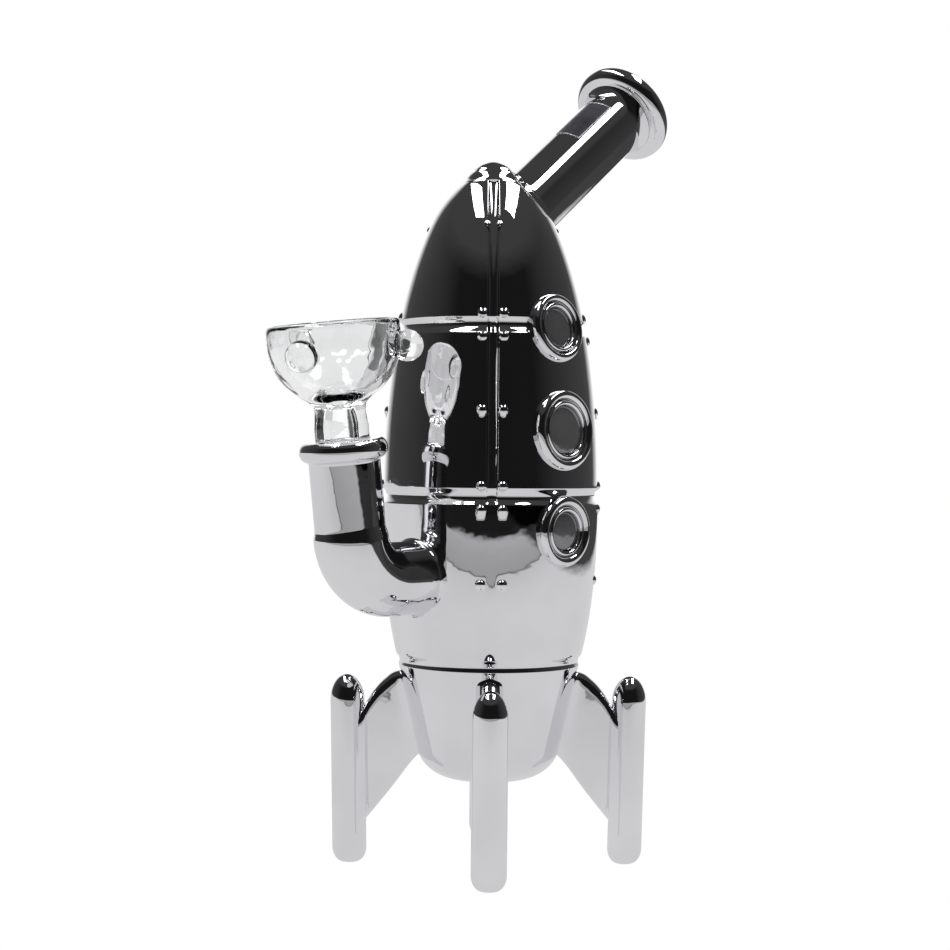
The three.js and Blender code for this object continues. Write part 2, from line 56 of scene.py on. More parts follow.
ROUND = 128  # facets round a turned piece
HULL_RADIUS = 30.2
WIDEST_Z = 105
NOSE_HEIGHT = 90.5
BELLY_HEIGHT = 79.2
BELLY_POWER = 2.5
NOSE_TOP_Z = 190.6
WALL = 3
TAIL_TAPER = 0.225
TAIL_CORNER_Z = 33
TAIL_FLAT_RADIUS = 8
TAIL_BOTTOM_Z = 23.8
TAIL_INNER_Z = 38

GROOVE_Z = {"lower": 57.5, "middle": 103.4, "upper": 149.7}
GROOVE_SIZE = {"lower": (3.2, 0.55), "middle": (4.4, 1.0), "upper": (4.4, 1.0)}  # (width, depth)
SEAM_WIDTH = 3.0
SEAM_DEPTH = 0.85
SEAM_DEEP_FROM = (98, 110)  # heights between which it reaches its full depth
SEAM_LOW_DEPTH = 0.12
SEAM_LOW_FROM = (76, 84)
SEAM_EDGE = 0.6  # below 1, so that the seam's edges are steep
GROOVE_EDGE = 1.25
RIVET_RADIUS = 1.3
RIVET_RISE = 0.7
RIVET_OFFSET = 2.9
RIVET_ROWS_Z = (152.8, 146.6, 126.7, 106.2, 99.8, 79.8)
TOP_RIVET_Z = 177.5
TOP_RIVET_SCALE = 0.55
RIVET_BLUNTNESS = 0.6
RIPPLE_BROAD = 0.06
RIPPLE_FINE = 0.005

INNER_NOSE_Z = (160, 170, 178, 184)
INNER_NOSE_TOP_Z = 186

CAP_RADIUS = 8.6
CAP_HEIGHT = 6
CAP_BASE_Z = NOSE_TOP_Z + 0.3
NOSE_DRAW_Z = 180
NOSE_DRAW = 0.0085

NECK_AZIMUTH = 45
NECK_ELEVATION = 37.4
NECK_ROOT_Z = 174.8
NECK_RADIUS = 9.7
NECK_BORE = 7
NECK_END = 66.2
NECK_FLARE_LENGTH = 4
NECK_INNER_END = 12
NECK_WELD_BETWEEN = (4, 45)  # lengths up the neck
NECK_WELD = 1.3
NECK_FLARE = 1.6
LABEL_ALONG = (41.6, 59.3)
LABEL_ROUND = (173, 222)
LABEL_RISE = 0.1
LABEL_SINK = 0.3
LABEL_STEPS = 16
BORDER_WIDTH = 0.55
BORDER_EDGE = 0.12
BORDER_RISE = 0.18
LIP_RADIUS = 15.2
LIP_THICKNESS = 6.2

JOINT_AZIMUTH = 225
JOINT_LEAN = 7.3
JOINT_Z = 81
ELBOW_RADIUS = 9.7
ELBOW_BORE = 6.5
ELBOW_BEND = 13.5
ELBOW_REACH = 39
ELBOW_INNER_END = 25
ELBOW_WELD_BETWEEN = (20, 38)  # lengths out from the hull's axis
ELBOW_WELD = 1.8
SOCKET_START = 1.35
SOCKET_END = 19.85
COLLAR_RADIUS = 11.7
JOINT_MOUTH = 25.8
JOINT_MOUTH_RADIUS = 7.4
JOINT_TAPER = 0.05

STEM_DEPTH = 21
STEM_RADIUS = 7.15
STEM_BORE = 3.2
CUP_BOTTOM = 34.7
CUP_TOP = 56.5
CUP_RADIUS = 17.5
CUP_ROUND_HEIGHT = 17
CUP_WALL = 2.8
DRAIN_RADIUS = 2.5
KNOB_RADIUS = 4.2
KNOB_HEIGHT = 48.8
KNOB_REACH = 19.1
KNOB_FIRST_TURN = 22
KNOB_COUNT = 3

PORTHOLE_AZIMUTH = -49
PORTHOLE_SQUEEZE = 0.92  # each is a little taller than wide
PORTHOLES = {
    "upper": (149.2, 9.5, 5.5),
    "middle": (121.5, 11.0, 6.6),
    "lower": (94.1, 9.7, 5.3),
}

LEG_RADIUS = 4.8
LEG_HEIGHT = 52.8
LEG_FOOT_X = 38.6
LEG_LEAN = 0.021
LEG_CROWN = 7.5
LEG_TOE = 4.2
LEG_FLAT_RADIUS = 1.8
WEB_THICKNESS = 5.8
WEB_ROUND = 2.4
WEB_LOW = ((12, 34.5), (19.8, 30.0), (27.5, 20.2), (36.3, 9.6), (38.3, 9.2))
WEB_HIGH = ((12, 54.2), (24.4, 54.2), (29.2, 51.6), (33.0, 47.2), (35.4, 43.0), (37.6, 41.6), (38.3, 41.5))
WELD_BULGE = 0.8  # a weld's extra thickness at the hull and at the leg
WELD_REACH = 0.9

# ---- Materials ----


def nodes_of(material):
    """A new material's node tree and its main shader."""
    material.use_nodes = True
    tree = material.node_tree
    return tree, tree.nodes["Principled BSDF"]


def noise_ramp(tree, scale, detail, stops):
    """Noise over the object's own coordinates, mapped to the stops' colours."""
    coordinates = tree.nodes.new("ShaderNodeTexCoord")
    texture = tree.nodes.new("ShaderNodeTexNoise")
    texture.inputs["Scale"].default_value = scale
    texture.inputs["Detail"].default_value = detail
    ramp = tree.nodes.new("ShaderNodeValToRGB")
    ramp.color_ramp.elements[0].position = stops[0][0]
    ramp.color_ramp.elements[0].color = (*stops[0][1], 1)
    ramp.color_ramp.elements[1].position = stops[1][0]
    ramp.color_ramp.elements[1].color = (*stops[1][1], 1)
    tree.links.new(coordinates.outputs["Object"], texture.inputs["Vector"])
    tree.links.new(texture.outputs["Fac"], ramp.inputs["Fac"])
    return ramp.outputs["Color"]


def add_bump(tree, shader, scale, distance):
    coordinates = tree.nodes.new("ShaderNodeTexCoord")
    texture = tree.nodes.new("ShaderNodeTexNoise")
    texture.inputs["Scale"].default_value = scale
    texture.inputs["Detail"].default_value = 2.0
    bump = tree.nodes.new("ShaderNodeBump")
    bump.inputs["Strength"].default_value = 1.0
    bump.inputs["Distance"].default_value = distance
    tree.links.new(coordinates.outputs["Object"], texture.inputs["Vector"])
    tree.links.new(texture.outputs["Fac"], bump.inputs["Height"])
    tree.links.new(bump.outputs["Normal"], shader.inputs["Normal"])


def plated_glass(name, bright, dull, bump_distance, metallic=1.0, roughness=(0.012, 0.05)):
    """Silver plating on blown glass: nearly a perfect mirror, with a faint ripple and faint smudges."""
    material = bpy.data.materials.new(name)
    tree, shader = nodes_of(material)
    shader.inputs["Metallic"].default_value = metallic
    colour = noise_ramp(tree, 45.0, 3.0, ((0.35, dull), (0.65, bright)))
    tree.links.new(colour, shader.inputs["Base Color"])
    smudge = noise_ramp(tree, 130.0, 4.0, ((0.4, (roughness[0],) * 3), (0.75, (roughness[1],) * 3)))
    tree.links.new(smudge, shader.inputs["Roughness"])
    add_bump(tree, shader, 160.0, bump_distance)
    return material


def clear_glass():
    material = bpy.data.materials.new("clear_glass")
    tree, shader = nodes_of(material)
    shader.inputs["Transmission Weight"].default_value = 1.0
    shader.inputs["IOR"].default_value = 1.47
    tint = noise_ramp(tree, 60.0, 2.0, ((0.3, (0.955, 0.965, 0.97)), (0.7, (1.0, 1.0, 1.0))))
    tree.links.new(tint, shader.inputs["Base Color"])
    haze = noise_ramp(tree, 220.0, 3.0, ((0.45, (0.0,) * 3), (0.8, (0.035,) * 3)))
    tree.links.new(haze, shader.inputs["Roughness"])
    add_bump(tree, shader, 95.0, 0.0004)
    return material


PLATED = plated_glass("plated_glass", (0.86, 0.855, 0.875), (0.80, 0.795, 0.825), 0.00003)
PORTHOLE = plated_glass("porthole_mirror", (0.36, 0.36, 0.37), (0.27, 0.27, 0.28), 0.0003, 0.55, (0.12, 0.22))
LABEL = plated_glass("blank_label", (0.24, 0.24, 0.27), (0.10, 0.10, 0.12), 0.0003, 0.35, (0.18, 0.32))
BORDER = plated_glass("label_border", (0.75, 0.75, 0.77), (0.60, 0.60, 0.62), 0.0001, 0.25, (0.15, 0.25))
GLASS = clear_glass()

# ---- Meshes ----


def shape_mesh(name, points, faces, matrix=None):
    """A mesh object from points in millimetres, moved into the model's frame."""
    mesh = bpy.data.meshes.new(name)
    if matrix is not None:
        points = [matrix @ Vector(p) for p in points]
    mesh.from_pydata([HULL_AXIS + Vector(p) * MM for p in points], [], faces)
    build = bmesh.new()
    build.from_mesh(mesh)
    bmesh.ops.recalc_face_normals(build, faces=build.faces)
    build.to_mesh(mesh)
    build.free()
    mesh.polygons.foreach_set("use_smooth", [True] * len(mesh.polygons))
    mesh.set_sharp_from_angle(angle=math.radians(42))
    piece = bpy.data.objects.new(name, mesh)
    bpy.context.scene.collection.objects.link(piece)
    return piece


def place(piece, material, slot, body, *replaced):
    piece.data.materials.append(material)
    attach(piece, body)
    if replaced:
        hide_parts(*replaced)
    return piece


def plated(piece, *replaced):
    return place(piece, PLATED, "plated_glass", "pipe", *replaced)


def grid_faces(rows, columns, closed_rows=False):
    """Quads between rings that each have the same number of points."""
    faces = []
    for i in range(rows if closed_rows else rows - 1):
        lower = i * columns
        upper = ((i + 1) % rows) * columns
        for j in range(columns):
            k = (j + 1) % columns
            faces.append((lower + j, lower + k, upper + k, upper + j))
    return faces


def fan(points, faces, first, columns, centre):
    """Closes a ring with triangles to a centre point."""
    points.append(centre)
    tip = len(points) - 1
    for j in range(columns):
        faces.append((first + j, first + (j + 1) % columns, tip))


def turned(profile, facets=ROUND):
    """Points and faces of a profile of (radius, height) turned about Z, with poles where it meets Z."""
    start_pole = profile[0][0] < 1e-6
    end_pole = profile[-1][0] < 1e-6
    body = profile[1 if start_pole else 0:len(profile) - 1 if end_pole else len(profile)]
    points = []
    for radius, height in body:
        for j in range(facets):
            angle = 2 * math.pi * j / facets
            points.append((radius * math.cos(angle), radius * math.sin(angle), height))
    faces = grid_faces(len(body), facets, closed_rows=not (start_pole or end_pole))
    if start_pole:
        fan(points, faces, 0, facets, (0, 0, profile[0][1]))
    if end_pole:
        fan(points, faces, (len(body) - 1) * facets, facets, (0, 0, profile[-1][1]))
    return points, faces


def arc(centre, radii, start, end, steps):
    points = []
    for i in range(steps + 1):
        angle = math.radians(start + (end - start) * i / steps)
        points.append((centre[0] + radii[0] * math.cos(angle), centre[1] + radii[1] * math.sin(angle)))
    return points


def curve_through(points, steps):
    """A smooth curve through the points, as Catmull and Rom's."""
    padded = [points[0], *points, points[-1]]
    smooth = []
    for a, b, c, d in zip(padded, padded[1:], padded[2:], padded[3:]):
        for i in range(steps):
            t = i / steps
            smooth.append(tuple(
                0.5 * (2 * b[k] + (c[k] - a[k]) * t + (2 * a[k] - 5 * b[k] + 4 * c[k] - d[k]) * t * t
                       + (3 * b[k] - a[k] - 3 * c[k] + d[k]) * t ** 3)
                for k in range(len(b))
            ))
    smooth.append(tuple(points[-1]))
    return smooth


def spaced(start, end, steps):
    return [start + (end - start) * i / steps for i in range(steps + 1)]


def leaning(position, azimuth, elevation):
    """The matrix of a local frame whose Z leans by an elevation above the horizontal at an azimuth."""
    turn = Matrix.Rotation(math.radians(azimuth), 4, "Z")
    tip = Matrix.Rotation(math.radians(90 - elevation), 4, "Y")
    return Matrix.Translation(Vector(position)) @ turn @ tip


# ---- Hull ----


def hull_radius(z):
    if z >= WIDEST_Z:
        drawn_in = NOSE_DRAW * max(z - NOSE_DRAW_Z, 0) ** 2
        return HULL_RADIUS * math.sqrt(max(1 - ((z - WIDEST_Z) / NOSE_HEIGHT) ** 2, 0)) - drawn_in
    if z >= GROOVE_Z["lower"]:
        return HULL_RADIUS * math.sqrt(1 - ((WIDEST_Z - z) / BELLY_HEIGHT) ** BELLY_POWER)
    return hull_radius(GROOVE_Z["lower"]) - TAIL_TAPER * (GROOVE_Z["lower"] - z)


def hollow(distance, width, edge):
    """A pressed line's depth as a share of its full depth, at a distance from its middle."""
    across = 2 * distance / width
    return (1 - across * across) ** edge if abs(across) < 1 else 0.0


def groove_depth(z):
    return max(
        depth * hollow(z - GROOVE_Z[name], width, GROOVE_EDGE)
        for name, (width, depth) in GROOVE_SIZE.items()
    )


def eased(value, limits):
    """0 at the first limit, 1 at the second, and smooth between them."""
    share = min(max((value - limits[0]) / (limits[1] - limits[0]), 0), 1)
    return share * share * (3 - 2 * share)


def seam_depth(offset, z):
    depth = SEAM_DEPTH * eased(z, SEAM_DEEP_FROM) + SEAM_LOW_DEPTH * eased(z, SEAM_LOW_FROM)
    return depth * hollow(offset, SEAM_WIDTH, SEAM_EDGE)


def rivet_height(offset, z):
    for row in (*RIVET_ROWS_Z, TOP_RIVET_Z):
        scale = TOP_RIVET_SCALE if row == TOP_RIVET_Z else 1.0
        distance = math.hypot(abs(offset) - RIVET_OFFSET * scale, z - row) / (RIVET_RADIUS * scale)
        if distance < 1:
            return RIVET_RISE * scale * (1 - distance ** 2) ** RIVET_BLUNTNESS
    return 0.0


def ripple(point):
    """The unevenness of blown glass."""
    broad = noise.noise(Vector(point) / 17)
    fine = noise.noise(Vector(point) / 6 + Vector((5, 3, 1)))
    return RIPPLE_BROAD * broad + RIPPLE_FINE * fine


SEAM_REACH = 4.7
SEAM_STEPS = 64
PANEL_STEPS = 26
DETAIL_MARGIN = 0.4
FINE_STEP = 0.2
PLAIN_STEP = 1.1


def row_angles(radius):
    """(angle, offset from a seam) once round the hull, close together beside each seam."""
    reach = min(SEAM_REACH, radius * 0.6)
    edge = math.asin(reach / radius)
    angles = []
    for quarter in range(4):
        start = quarter * math.pi / 2
        for i in range(SEAM_STEPS):
            offset = reach * (2 * i / SEAM_STEPS - 1)
            angles.append((start + math.asin(offset / radius), offset))
        for i in range(PANEL_STEPS):
            angles.append((start + edge + (math.pi / 2 - 2 * edge) * i / PANEL_STEPS, reach))
    return angles


def hull_ring(z):
    base = hull_radius(z)
    ring = []
    for angle, offset in row_angles(base):
        out = Vector((math.sin(angle), -math.cos(angle), 0))
        up = Vector((0, 0, z))
        pressed_in = groove_depth(z) + seam_depth(offset, z)
        radius = base - pressed_in + ripple(out * base + up) + rivet_height(offset, z)
        ring.append(tuple(out * radius + up))
    return ring


def inner_ring(z, radius):
    return [(radius * math.sin(a), -radius * math.cos(a), z) for a, _ in row_angles(hull_radius(z))]


def section_heights(bottom, top):
    """Heights up a length of hull, close together at grooves and rivets."""
    heights = [bottom]
    while heights[-1] < top - 1e-6:
        z = heights[-1]
        near_rivet = any(abs(z - row) < RIVET_RADIUS + DETAIL_MARGIN for row in (*RIVET_ROWS_Z, TOP_RIVET_Z))
        near_groove = any(
            abs(z - GROOVE_Z[name]) < width / 2 + DETAIL_MARGIN
            for name, (width, _) in GROOVE_SIZE.items()
        )
        heights.append(min(z + (FINE_STEP if near_rivet or near_groove else PLAIN_STEP), top))
    return heights


def hull_section(name, bottom, top):
    """A length of hull between two grooves, open at both ends."""
    outside = [hull_ring(z) for z in section_heights(bottom, top)]
    inside = [inner_ring(z, hull_radius(z) - WALL) for z in spaced(top, bottom, 4)]
    rings = outside + inside
    columns = len(rings[0])
    points = [p for ring in rings for p in ring]
    return shape_mesh(name, points, grid_faces(len(rings), columns, closed_rows=True))


def nose_shell():
    bottom = GROOVE_Z["upper"]
    outside = [hull_ring(z) for z in section_heights(bottom, NOSE_TOP_Z)]
    edge = hull_radius(NOSE_TOP_Z)
    shoulder = [(edge - 0.1, CAP_BASE_Z - 0.15), (edge - 0.35, CAP_BASE_Z - 0.02), (7.2, CAP_BASE_Z)]
    top_angles = [angle for angle, _ in row_angles(edge)]
    rings = outside + [[(r * math.sin(a), -r * math.cos(a), z) for a in top_angles] for r, z in shoulder]
    inside = [inner_ring(z, hull_radius(z) - WALL) for z in (bottom, *INNER_NOSE_Z)]
    columns = len(outside[0])
    rings = inside[::-1] + rings
    points = [p for ring in rings for p in ring]
    faces = grid_faces(len(rings), columns)
    fan(points, faces, 0, columns, (0, 0, INNER_NOSE_TOP_Z))
    fan(points, faces, (len(rings) - 1) * columns, columns, (0, 0, CAP_BASE_Z))
    return shape_mesh("nose_plating", points, faces)


def tail_cone():
    corner = hull_radius(TAIL_CORNER_Z)
    centre = (TAIL_FLAT_RADIUS, TAIL_CORNER_Z + 1)
    reach = (corner - TAIL_FLAT_RADIUS, TAIL_CORNER_Z + 1 - TAIL_BOTTOM_Z)
    bottom = arc(centre, reach, -90, -4, 18)
    top = GROOVE_Z["lower"]
    side = [(hull_radius(z) - groove_depth(z), z) for z in spaced(TAIL_CORNER_Z + 3, top - 2.5, 14)]
    groove = [(hull_radius(z) - groove_depth(z), z) for z in spaced(top - 2.2, top, 9)]
    floor = TAIL_BOTTOM_Z + WALL
    inside = [
        (hull_radius(top) - WALL, top),
        (hull_radius(TAIL_INNER_Z) - WALL, TAIL_INNER_Z),
        (TAIL_FLAT_RADIUS + 3, floor),
        (0, floor),
    ]
    points, faces = turned([(0, TAIL_BOTTOM_Z), *bottom, *side, *groove, *inside], 160)
    rippled = []
    for p in points:
        out = Vector((p[0], p[1], 0))
        rippled.append(tuple(Vector(p) + out.normalized() * ripple(p)) if out.length > 1 else p)
    return shape_mesh("tail_plating", rippled, faces)


def nose_cap():
    rise = [(CAP_RADIUS, -0.25), (7.95, 0.5), (7.4, 1.4), (6.8, 2.2), (6.0, 3.0), (5.1, 3.9), (3.9, 4.8),
            (1.9, 5.7), (0.0, CAP_HEIGHT)]
    side = [(radius, CAP_BASE_Z + height) for radius, height in rise]
    profile = [(0, CAP_BASE_Z - 1.2), (CAP_RADIUS - 0.4, CAP_BASE_Z - 1.2), *curve_through(side, 6)]
    points, faces = turned(profile, 96)
    return shape_mesh("nose_cap_plating", points, faces)


# ---- Tubes that are welded to the hull ----


def outer_limit(z):
    """The hull's radius with the nose cap on it."""
    if z <= CAP_BASE_Z:
        return hull_radius(max(min(z, NOSE_TOP_Z), TAIL_BOTTOM_Z))
    if z >= CAP_BASE_Z + CAP_HEIGHT:
        return 0.0
    return CAP_RADIUS * math.sqrt(1 - ((z - CAP_BASE_Z) / CAP_HEIGHT) ** 2)


def outside_hull(point):
    return math.hypot(point.x, point.y) - outer_limit(point.z)


SEARCH_STEP = 0.25
SEARCH_HALVINGS = 20
FILLET_STEPS = 7
WELD_SINK = 0.25


def meeting(origin, direction, between):
    """How far along a line it leaves the hull for good."""
    near, s = between
    while s > near and outside_hull(origin + direction * s) > 0:
        s -= SEARCH_STEP
    low, high = s, s + SEARCH_STEP
    for _ in range(SEARCH_HALVINGS):
        middle = (low + high) / 2
        if outside_hull(origin + direction * middle) > 0:
            high = middle
        else:
            low = middle
    return high


def onto_hull(point, sink):
    out = Vector((point.x, point.y, 0))
    if out.length < 1e-6:
        return point
    limit = max(outer_limit(point.z) - sink, 0.5)
    return Vector((0, 0, point.z)) + out.normalized() * limit


def welded_root(matrix, radius, between, fillet):
    """Rings of a fillet from the hull's surface up onto a tube whose axis is the matrix's Z."""
    axis = (matrix.to_3x3() @ Vector((0, 0, 1))).normalized()
    rings = [[] for _ in range(FILLET_STEPS + 1)]
    reach = []
    for j in range(ROUND):
        angle = 2 * math.pi * j / ROUND
        side = Vector((math.cos(angle), math.sin(angle), 0))
        start = matrix @ (side * radius)
        out = (matrix.to_3x3() @ side).normalized()
        s = meeting(start, axis, between)
        reach.append(s)
        touch = start + axis * s
        high = start + axis * (s + fillet)
        low = onto_hull(touch + out * fillet, WELD_SINK)
        for i in range(FILLET_STEPS + 1):
            t = i / FILLET_STEPS
            point = low * (1 - t) ** 2 + touch * 2 * t * (1 - t) + high * t * t
            rings[i].append(tuple(point))
    return rings, reach


def neck_matrix():
    return leaning((0, 0, NECK_ROOT_Z), NECK_AZIMUTH, NECK_ELEVATION)


def circle(matrix, radius, height):
    ring = []
    for j in range(ROUND):
        angle = 2 * math.pi * j / ROUND
        ring.append(tuple(matrix @ Vector((radius * math.cos(angle), radius * math.sin(angle), height))))
    return ring


def neck_tube():
    matrix = neck_matrix()
    fillet, reach = welded_root(matrix, NECK_RADIUS, NECK_WELD_BETWEEN, NECK_WELD)
    start = max(reach) + NECK_WELD
    flare_start = NECK_END - NECK_FLARE_LENGTH
    along = [circle(matrix, NECK_RADIUS, s) for s in spaced(start + 0.5, flare_start - 0.5, 24)]
    flare = [
        circle(matrix, NECK_RADIUS + NECK_FLARE * t ** 2, flare_start + NECK_FLARE_LENGTH * t)
        for t in spaced(0, 1, 8)
    ]
    bore = [circle(matrix, NECK_BORE, s) for s in (NECK_END, NECK_END / 2, NECK_INNER_END)]
    rings = fillet + along + flare + bore
    points = [p for ring in rings for p in ring]
    return shape_mesh("neck_plating", points, grid_faces(len(rings), ROUND, closed_rows=True))


def mouth_lip():
    half = LIP_THICKNESS / 2
    middle = NECK_END + 0.1 + half
    edge = arc((LIP_RADIUS - half * 0.95, middle), (half * 0.95, half), -90, 90, 24)
    mouth = arc((NECK_BORE + 2.2, middle + half - 2.2), (-2.2, 2.2), 90, 0, 10)
    profile = [(NECK_BORE, middle - half), *edge, *mouth]
    points, faces = turned(profile)
    return shape_mesh("mouth_lip_plating", points, faces, neck_matrix())


def on_neck(along, around, rise):
    """A point over the neck's surface. Along is millimetres up the neck, around is degrees round it."""
    angle = math.radians(around)
    radius = NECK_RADIUS + rise
    return neck_matrix() @ Vector((radius * math.cos(angle), radius * math.sin(angle), along))


def wrapped_loop(inset, rise):
    """Points round the label's edge, drawn in by an inset."""
    low, high = LABEL_ALONG[0] + inset, LABEL_ALONG[1] - inset
    turn = math.degrees(inset / NECK_RADIUS)
    first, last = LABEL_ROUND[0] + turn, LABEL_ROUND[1] - turn
    loop = [on_neck(s, first, rise) for s in spaced(low, high, LABEL_STEPS)[:-1]]
    loop += [on_neck(high, a, rise) for a in spaced(first, last, LABEL_STEPS)[:-1]]
    loop += [on_neck(s, last, rise) for s in spaced(high, low, LABEL_STEPS)[:-1]]
    loop += [on_neck(low, a, rise) for a in spaced(last, first, LABEL_STEPS)[:-1]]
    return [tuple(p) for p in loop]


def label_border():
    """A thin raised frame round the blank label."""
    section = [
        (0, -LABEL_SINK),
        (0, LABEL_RISE),
        (BORDER_EDGE, BORDER_RISE),
        (BORDER_WIDTH - BORDER_EDGE, BORDER_RISE),
        (BORDER_WIDTH, LABEL_RISE),
        (BORDER_WIDTH, -LABEL_SINK),
    ]
    rings = [wrapped_loop(inset, rise) for inset, rise in section]
    points = [p for ring in rings for p in ring]
    return shape_mesh("label_border", points, grid_faces(len(rings), len(rings[0]), closed_rows=True))


def blank_label():
    """A dark label with nothing on it, wrapped round the neck's upper left."""
    rows = spaced(LABEL_ALONG[0] + 0.3, LABEL_ALONG[1] - 0.3, 20)
    turns = spaced(LABEL_ROUND[0] + 1.5, LABEL_ROUND[1] - 1.5, 20)
    rings = []
    for s in rows:
        over = [on_neck(s, a, LABEL_RISE) for a in turns]
        under = [on_neck(s, a, -LABEL_SINK) for a in reversed(turns)]
        rings.append([tuple(p) for p in over + under])
    count = len(rings[0])
    points = [p for ring in rings for p in ring]
    faces = grid_faces(len(rings), count)
    faces.append(tuple(range(count)))
    faces.append(tuple(range((len(rings) - 1) * count, len(rings) * count)))
    return shape_mesh("blank_label", points, faces)


# ---- Side joint ----

ELBOW_TURN = math.radians(90 - JOINT_LEAN)
SHOULDER = 0.55
SHOULDER_TOP = 2.6
SHOULDER_LENGTH = 3.4


def tube_radius(height):
    """The side tube's radius at a height on the joint's axis, with a soft shoulder above the bend."""
    narrowed = min(max((height - SHOULDER_TOP + SHOULDER_LENGTH) / SHOULDER_LENGTH, 0), 1)
    return ELBOW_RADIUS + SHOULDER / 2 - SHOULDER * narrowed * narrowed * (3 - 2 * narrowed)


def side_matrix():
    return Matrix.Translation((0, 0, JOINT_Z)) @ Matrix.Rotation(math.radians(JOINT_AZIMUTH), 4, "Z")


def joint_matrix():
    out = ELBOW_REACH + ELBOW_BEND * math.sin(ELBOW_TURN)
    up = JOINT_Z + ELBOW_BEND * (1 - math.cos(ELBOW_TURN))
    azimuth = math.radians(JOINT_AZIMUTH)
    return leaning((out * math.cos(azimuth), out * math.sin(azimuth), up), JOINT_AZIMUTH, 90 - JOINT_LEAN)


def elbow_ring(side, along, radius):
    """A ring of the elbow, at a length along its centreline from where it starts to bend."""
    angle = min(max(along / ELBOW_BEND, 0), ELBOW_TURN)
    past = max(along - ELBOW_BEND * ELBOW_TURN, 0)
    before = min(along, 0)
    x = ELBOW_REACH + before + ELBOW_BEND * math.sin(angle) + past * math.cos(angle)
    z = ELBOW_BEND * (1 - math.cos(angle)) + past * math.sin(angle)
    out = Vector((-math.sin(angle), 0, math.cos(angle)))
    ring = []
    for j in range(ROUND):
        turn = 2 * math.pi * j / ROUND
        point = Vector((x, 0, z)) - out * radius * math.cos(turn) + Vector((0, radius * math.sin(turn), 0))
        ring.append(tuple(side @ point))
    return ring


def joint_elbow():
    side = side_matrix()
    matrix = side @ Matrix.Rotation(math.pi / 2, 4, "Y")
    bend_length = ELBOW_BEND * ELBOW_TURN
    length = bend_length + SOCKET_START
    full = tube_radius(-bend_length)
    root, reach = welded_root(matrix, full, ELBOW_WELD_BETWEEN, ELBOW_WELD)
    straight_start = max(reach) + ELBOW_WELD + 0.3 - ELBOW_REACH
    straight = [elbow_ring(side, s, full) for s in spaced(straight_start, -0.4, 4)]
    bend = [elbow_ring(side, s, tube_radius(s - bend_length)) for s in spaced(0, length, 56)]
    inner_end = ELBOW_INNER_END - ELBOW_REACH
    bore = [elbow_ring(side, s, ELBOW_BORE) for s in (length, length / 2, 0, inner_end)]
    rings = root + straight + bend + bore
    points = [p for ring in rings for p in ring]
    return shape_mesh("elbow_plating", points, grid_faces(len(rings), ROUND, closed_rows=True))


def bore_radius(height):
    return JOINT_MOUTH_RADIUS - JOINT_TAPER * (JOINT_MOUTH - height)


def joint_socket():
    sides = [(tube_radius(h), h) for h in spaced(SOCKET_START, SOCKET_END, 40)]
    profile = [(bore_radius(SOCKET_START), SOCKET_START), *sides, (bore_radius(SOCKET_END), SOCKET_END)]
    points, faces = turned(profile)
    matrix = joint_matrix()
    return shape_mesh("socket_plating", points, faces, matrix)


def joint_collar():
    bottom = SOCKET_END
    height = JOINT_MOUTH - bottom
    corner = (2.3, height * 0.44)
    profile = [
        (bore_radius(bottom), bottom),
        *arc((tube_radius(bottom) + 0.9, bottom - 0.2), (-0.9, 0.9), 0, 70, 6),
        *arc((COLLAR_RADIUS - corner[0], bottom + 0.5 + corner[1]), corner, -75, 0, 12),
        *arc((COLLAR_RADIUS - corner[0], JOINT_MOUTH - corner[1]), corner, 0, 90, 12),
        *arc((bore_radius(JOINT_MOUTH) + 0.6, JOINT_MOUTH - 0.6), (-0.6, 0.6), 90, 0, 5),
    ]
    points, faces = turned(profile)
    return shape_mesh("collar_plating", points, faces, joint_matrix())


# ---- Bowl ----


def bowl_profile():
    stem_bottom = JOINT_MOUTH - STEM_DEPTH
    low = bore_radius(stem_bottom) - 0.25
    stem = [
        *arc((STEM_BORE + 0.5, stem_bottom + 0.5), (-0.5, -0.5), 0, 90, 4),
        *arc((low - 0.5, stem_bottom + 0.5), (0.5, 0.5), -90, 0, 5),
        *[
            (low + (STEM_RADIUS - low) * t, stem_bottom + 0.5 + (STEM_DEPTH - 0.5) * t)
            for t in spaced(0.1, 1, 8)
        ],
    ]
    waist = [(STEM_RADIUS, 29), (6.85, 31.5), (6.75, 33.4), (7.15, 35.0), (8.4, 36.3), (10.4, 37.7)]
    flank = [(12.6, 39.6), (14.9, 42.4), (16.6, 45.8), (17.6, 49.4), (CUP_RADIUS, 52.6)]
    outside = curve_through([*waist, *flank], 5)
    rim = arc((CUP_RADIUS - CUP_WALL / 2, CUP_TOP - 1.7), (CUP_WALL / 2, 1.7), 0, 180, 16)
    inner = CUP_RADIUS - CUP_WALL
    cavity = arc((0, CUP_BOTTOM + CUP_ROUND_HEIGHT + 1.5), (inner, CUP_ROUND_HEIGHT - 1.4), 0, -76, 18)
    floor = cavity[-1][1]
    drain = curve_through([
        (3.1, floor - 0.3),
        (DRAIN_RADIUS, floor - 1.3),
        (DRAIN_RADIUS, floor - 3.0),
        (2.7, CUP_BOTTOM - 1.2),
        (3.0, CUP_BOTTOM - 3.2),
        (STEM_BORE, CUP_BOTTOM - 5.5),
    ], 4)
    bore = [(STEM_BORE, h) for h in spaced(CUP_BOTTOM - 7, stem_bottom + 1, 6)]
    return [*stem, *outside, *rim[1:], *cavity[1:], *drain, *bore]


